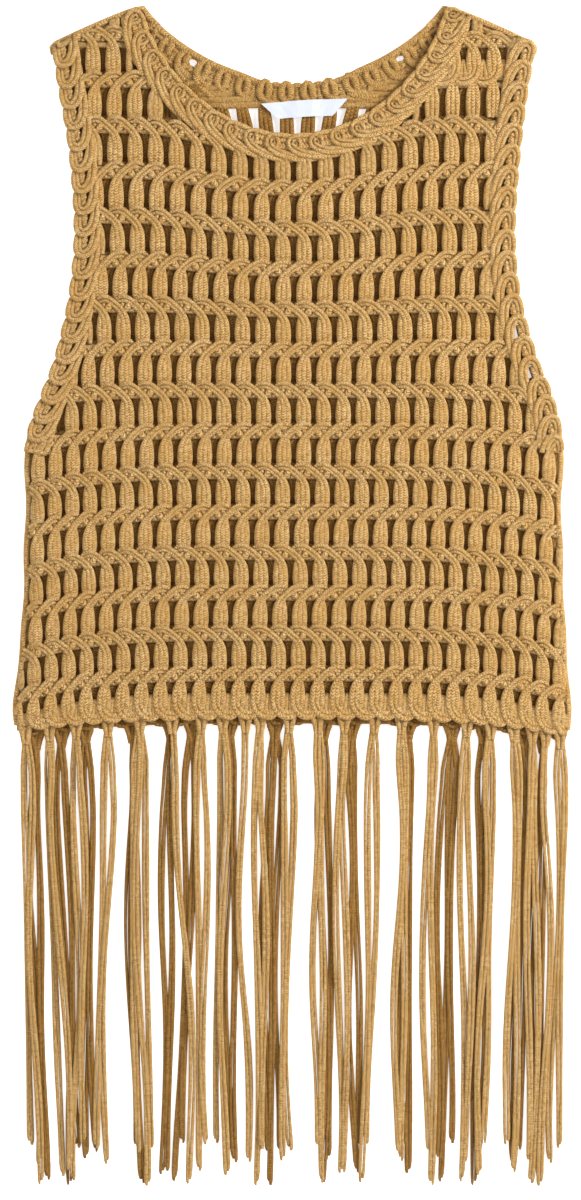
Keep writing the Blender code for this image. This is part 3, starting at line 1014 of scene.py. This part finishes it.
def folds(places, heights, order):
    """The two folds of a flat cord. It turns as it hangs, and its tip is cut unevenly."""
    routes = []
    for side in (-1, 1):
        turn = 2.1 * order + 0.9 * side
        route = []
        for (x, drop), up in zip(places, heights):
            half = FOLD_HALF + 0.22 * math.sin(drop / 23 + turn)
            apart = 1.2 + 0.25 * math.sin(drop / 37 + 1.3 * order)
            route.append((x + side * apart, drop, up + 0.25 * math.sin(drop / 17 + turn), half))
        x, drop, up, half = route[-1]
        slant = 1.5 * side * (1 if order % 2 else -1)
        route[-1] = (x - 0.2 * side, drop + slant - 2.5, up, 0.95 * half)
        route.append((x - 0.5 * side, drop + slant, up, 0.6 * half))
        routes.append(route)
    return routes


def fringe_cords():
    """Routes of the back fringe, which lies on the table, and of the front one on top of it."""
    back = [
        strand(bundle, order, n, BACK_HEM_EXTRA)
        for order, bundle in enumerate(BACK_BUNDLES) for n in range(bundle[3])
    ]
    front = [
        strand(bundle, order + 40, n, 0.0)
        for order, bundle in enumerate(FRONT_BUNDLES) for n in range(bundle[3])
    ]
    lowest = (FOLD_HALF + 0.5) * CORD_FLATNESS
    back_routes, front_routes = [], []
    for order, places in enumerate(back):
        back_routes += folds(places, [lowest + CORD_STAGGER * (order % 2)] * len(places), order)
    for order, places in enumerate(front):
        heights = []
        for step, (x, _) in enumerate(places):
            near = min(abs(other[step][0] - x) for other in back)
            crossing = min(1.0, max(0.0, (CROSS_REACH - near) / CROSS_EASE))
            heights.append(lowest + CROSS_RISE * crossing)
        for _ in range(3):
            padded = [heights[0], *heights, heights[-1]]
            heights = [max(h, sum(padded[i:i + 3]) / 3) for i, h in enumerate(heights)]
        lift = CORD_STAGGER * (order % 2)
        heights = [max(h + lift, 6.6 - 0.9 * step) for step, h in enumerate(heights)]
        front_routes += folds(places, heights, order + 7)
    return back_routes, front_routes


def hitch_legs(bundles, hem_extra, up, reach):
    """The two legs of each hitch, which come together below the hem."""
    routes = []
    for order, (hem, *_) in enumerate(bundles):
        foot = hem_line(hem) + hem_extra
        lean = 1.2 * math.sin(2.1 * order)
        for side in (-1, 1):
            leg = [(hem + side * (reach + lean * side), foot - 4.0, up, 1.7)]
            leg += [
                (hem + side * share * reach, foot + below, up + rise, half)
                for share, below, rise, half in HITCH_LEG
            ]
            routes.append(leg)
    return routes


def tree_node(tree, kind, inputs=None, **settings):
    """Adds a node, sets its properties, then its sockets: each from a value or another socket."""
    made = tree.nodes.new(kind)
    for name, value in settings.items():
        setattr(made, name, value)
    for name, value in (inputs or {}).items():
        if isinstance(value, bpy.types.NodeSocket):
            tree.links.new(value, made.inputs[name])
        else:
            made.inputs[name].default_value = value
    return made


def cotton_cord(name, low, high, wash):
    """Combed cotton knitted into a soft tubular cord: matt, with fine chain ribs that slant to
    both sides of its middle. Its UV map runs along the cord in millimetres and round it from 0
    to 1. The ribs are drawn 1.9 mm apart, a little coarser than real, so that they show."""
    material = bpy.data.materials.new(name)
    material.use_nodes = True
    tree = material.node_tree
    shader = tree.nodes["Principled BSDF"]
    coordinates = tree_node(tree, "ShaderNodeTexCoord")
    place = coordinates.outputs["Object"]
    split = tree_node(tree, "ShaderNodeSeparateXYZ", {"Vector": coordinates.outputs["UV"]})
    side = tree_node(tree, "ShaderNodeMath", {0: split.outputs["Y"], 1: 0.25}, operation="SUBTRACT")
    slope = tree_node(tree, "ShaderNodeMath", {0: side.outputs[0]}, operation="ABSOLUTE")
    slant = tree_node(
        tree, "ShaderNodeMath", {0: slope.outputs[0], 1: RIB_SLANT, 2: split.outputs["X"]},
        operation="MULTIPLY_ADD",
    )
    turn = tree_node(
        tree, "ShaderNodeMath", {0: slant.outputs[0], 1: 2 * math.pi / RIB_PITCH},
        operation="MULTIPLY",
    )
    rib = tree_node(tree, "ShaderNodeMath", {0: turn.outputs[0]}, operation="SINE")
    fibres = tree_node(
        tree, "ShaderNodeTexNoise",
        {"Vector": place, "Scale": FIBRE_SCALE, "Detail": 2.0, "Roughness": 0.7},
    ).outputs["Fac"]
    cloudy = tree_node(
        tree, "ShaderNodeTexNoise", {"Vector": place, "Scale": CLOUD_SCALE, "Detail": 2.0}
    ).outputs["Fac"]
    yarn = tree_node(
        tree, "ShaderNodeMath", {0: rib.outputs[0], 1: RIB_SHARE, 2: fibres},
        operation="MULTIPLY_ADD",
    )
    shade = tree_node(tree, "ShaderNodeValToRGB", {"Fac": yarn.outputs[0]})
    shade.color_ramp.elements[0].position = 0.27
    shade.color_ramp.elements[0].color = rgb(low)
    shade.color_ramp.elements[1].position = 0.73
    shade.color_ramp.elements[1].color = rgb(high)
    patch = tree_node(
        tree, "ShaderNodeMapRange",
        {"Value": cloudy, "From Min": 0.35, "From Max": 0.65, "To Min": 0.0, "To Max": 0.35},
    )
    tint = tree_node(
        tree, "ShaderNodeMix", {0: patch.outputs[0], 6: shade.outputs["Color"], 7: rgb(wash)},
        data_type="RGBA",
    )
    tree.links.new(tint.outputs[2], shader.inputs["Base Color"])
    bump = tree_node(
        tree, "ShaderNodeBump", {"Height": yarn.outputs[0], "Strength": 0.8, "Distance": 0.0007}
    )
    tree.links.new(bump.outputs["Normal"], shader.inputs["Normal"])
    shader.inputs["Roughness"].default_value = 0.95
    shader.inputs["Specular IOR Level"].default_value = 0.2
    shader.inputs["Sheen Weight"].default_value = 0.08
    shader.inputs["Sheen Roughness"].default_value = 0.5
    return material


def woven_satin():
    """Polyester satin ribbon, woven white: smooth, with a soft gloss along its warp."""
    material = bpy.data.materials.new("woven satin ribbon")
    material.use_nodes = True
    tree = material.node_tree
    shader = tree.nodes["Principled BSDF"]
    place = tree_node(tree, "ShaderNodeTexCoord").outputs["Object"]
    warp = tree_node(
        tree, "ShaderNodeTexWave", {"Vector": place, "Scale": WARP_SCALE, "Distortion": 0.4},
        bands_direction="Y",
    )
    bump = tree_node(
        tree, "ShaderNodeBump",
        {"Height": warp.outputs["Fac"], "Strength": 0.2, "Distance": 0.0002},
    )
    tree.links.new(bump.outputs["Normal"], shader.inputs["Normal"])
    shader.inputs["Base Color"].default_value = rgb("#C6CAD8")
    shader.inputs["Roughness"].default_value = 0.38
    shader.inputs["Sheen Weight"].default_value = 0.2
    return material


def neck_label():
    """The woven label: a ribbon whose ends are folded under at a slant, drawn as a waved slab that
    narrows to its foot.
    """
    half = LABEL_HEIGHT / 2
    skin = bmesh.new()
    corners = []
    for x, down in (
        (-LABEL_TOP / 2, -half), (LABEL_TOP / 2, -half),
        (LABEL_FOOT / 2, half), (-LABEL_FOOT / 2, half),
    ):
        px = LABEL_CENTRE_X + x * math.cos(LABEL_TILT) + down * math.sin(LABEL_TILT)
        drop = LABEL_DROP + down * math.cos(LABEL_TILT) - x * math.sin(LABEL_TILT)
        corners.append(skin.verts.new(cloth_place(px, drop, LABEL_UP)))
    skin.faces.new(corners[::-1])
    bmesh.ops.subdivide_edges(skin, edges=skin.edges, cuts=9, use_grid_fill=True)
    for vert in skin.verts:
        x = vert.co.x / MM
        vert.co.z += 0.35 * MM * math.sin(x / 5.5) + 0.2 * MM * math.sin(x / 2.3 + 1)
        vert.co.y += 0.4 * MM * math.cos((x - LABEL_CENTRE_X) / 12)
    bmesh.ops.solidify(skin, geom=skin.faces[:], thickness=LABEL_THICKNESS * MM)
    bmesh.ops.recalc_face_normals(skin, faces=skin.faces)
    return skin


def studio():
    """A pale floor that glows a little as painted light, a strong softbox at the upper right, two
    weaker ones and a glow all round.
    """
    floor_skin = bmesh.new()
    bmesh.ops.create_grid(floor_skin, x_segments=1, y_segments=1, size=FLOOR_SIZE)
    floor_mesh = bpy.data.meshes.new("floor")
    floor_skin.to_mesh(floor_mesh)
    floor_skin.free()
    floor = bpy.data.objects.new("floor", floor_mesh)
    glowing_floor = bpy.data.materials.new("white floor with painted glow")
    glowing_floor.use_nodes = True
    shader = glowing_floor.node_tree.nodes["Principled BSDF"]
    shader.inputs["Base Color"].default_value = rgb("#FAFAFA")
    shader.inputs["Roughness"].default_value = 0.8
    # The floor glows a little: painted light, which lifts the shadows cast on it and lights the
    # cords from below.
    shader.inputs["Emission Color"].default_value = (1, 1, 1, 1)
    shader.inputs["Emission Strength"].default_value = 0.6
    floor_mesh.materials.append(glowing_floor)
    floor.location.z = -FLOOR_DROP
    bpy.context.collection.objects.link(floor)
    world = bpy.context.scene.world or bpy.data.worlds.new("studio")
    bpy.context.scene.world = world
    world.use_nodes = True
    sky = world.node_tree
    upwards = tree_node(
        sky, "ShaderNodeSeparateXYZ",
        {"Vector": tree_node(sky, "ShaderNodeTexCoord").outputs["Generated"]},
    )
    glow = tree_node(  # white near the floor, as a studio's walls are, and dimmer overhead
        sky, "ShaderNodeMapRange",
        {
            "Value": upwards.outputs["Z"], "From Min": 0.15, "From Max": 0.3,
            "To Min": 1.0, "To Max": 0.33,
        },
    )
    sky.nodes["Background"].inputs["Color"].default_value = (1, 1, 1, 1)
    sky.links.new(glow.outputs[0], sky.nodes["Background"].inputs["Strength"])
    for name, spot, size, power in SOFTBOXES:
        light = bpy.data.lights.new(name, "AREA")
        light.size = size
        light.energy = power
        lamp = bpy.data.objects.new(name, light)
        lamp.location = spot
        lamp.rotation_euler = (-Vector(spot)).to_track_quat("-Z", "Y").to_euler()
        bpy.context.collection.objects.link(lamp)
    bpy.context.scene.view_settings.view_transform = "Standard"


def camera():
    """Straight above the table, framed as the photograph is."""
    lens = bpy.data.cameras.new("camera")
    lens.lens = 100.0
    lens.sensor_width = 36.0
    lens.clip_end = 20.0
    eye = bpy.data.objects.new("camera", lens)
    eye.location = CAMERA_PLACE
    bpy.context.collection.objects.link(eye)
    bpy.context.scene.camera = eye


camera()
studio()
COTTON = cotton_cord("ochre knitted cotton cord", "#835411", "#CFB079", "#A77B36")
# The back's bands take a slightly darker copy of the same cord: painted shade.
SHADED_BANDS = cotton_cord("ochre knitted cotton cord, bands in painted shade", "#7A5014", "#C2A066", "#966D2F")
# The back panel and the back fringe take a darker copy of the same cord: painted shade, as they lie
# below the front.
SHADED = cotton_cord("ochre knitted cotton cord, back panel in painted shade", "#623C08", "#A47D41", "#7C551D")

fronts = panel_cords("front")
front_crowns = piece(
    "front_crowns",
    [
        lay_cords("crown", fronts[0], CROWN_LENGTH),
        lay_cords("crown_inner", fronts[1], INNER_LENGTH),
    ],
    COTTON, "cord", "front_panel",
)
front_posts = piece(
    "front_posts",
    [
        lay_cords("post", fronts[2], POST_LENGTH),
        lay_cords("bars", fronts[3], BAR_LENGTH, sides=COARSE_SIDES),
        lay_cords("core", core_cords("front"), CORE_LENGTH, sides=COARSE_SIDES),
        lay_cords("edge", fold_cords(), 220.0),
    ],
    COTTON, "cord",
)
backs = panel_cords("back")
back_cloth = piece(
    "back_cloth",
    [
        lay_cords("crown", backs[0], CROWN_LENGTH, sides=COARSE_SIDES),
        lay_cords("crown_inner", backs[1], INNER_LENGTH, sides=COARSE_SIDES),
        lay_cords("post", backs[2], POST_LENGTH, sides=COARSE_SIDES),
        lay_cords("bars", backs[3], BAR_LENGTH, sides=COARSE_SIDES),
        lay_cords("core", core_cords("back"), CORE_LENGTH, sides=COARSE_SIDES),
    ],
    SHADED, "cord", "back_panel",
)


def band_piece(name, kinds, lengths, material, node):
    skins = [lay_cords("loop", kind, length) for kind, length in zip(kinds, lengths) if kind]
    return piece(name, skins, material, "cord", node)


bands = [band_piece(
    "neck_loops_front",
    band_cords(neck_edge(front_neckline), 1, 1, FRONT_BAND_BASE, LOOP_TABLES, LOOP_PITCH)
    + [edge_fillers(
        neck_edge(front_neckline), 1, FRONT_BAND_BASE, NECK_FILLERS, lambda x, drop: True
    )],
    LOOP_LENGTHS, COTTON, "neck_band_front",
)]
for side, word in ((-1, "left"), (1, "right")):
    for layer in ("front", "back"):
        bands.append(band_piece(
            f"armhole_loops_{word}_{layer}", armhole_cords(side, layer),
            SCALLOP_LENGTHS,
            COTTON if layer == "front" else SHADED_BANDS, f"armhole_band_{word}_{layer}",
        ))
bands.append(band_piece(
    "neck_loops_back",
    back_neck_cords(), ARCH_LENGTHS, SHADED_BANDS, "neck_band_back",
))
back_routes, front_routes = fringe_cords()
shoulders = piece("shoulder_rolls", [lay_cords("roll", shoulder_cords(), 80.0)], COTTON, "cord")
fringe_back = piece(
    "fringe_cords_back",
    [lay_cords("fringe", back_routes, 330.0),
     lay_cords("hitch", hitch_legs(BACK_BUNDLES, BACK_HEM_EXTRA, 3.0, 5.2), 20.0)],
    SHADED, "fringe_cord", "fringe_back",
)
fringe_front = piece(
    "fringe_cords_front",
    [lay_cords("fringe", front_routes, 338.0),
     lay_cords("hitch", hitch_legs(FRONT_BUNDLES, 0.0, 6.8, 4.2), 20.0)],
    COTTON, "fringe_cord", "fringe_front",
)
label = piece("neck_label_satin", [neck_label()], woven_satin(), "label", "neck_label")
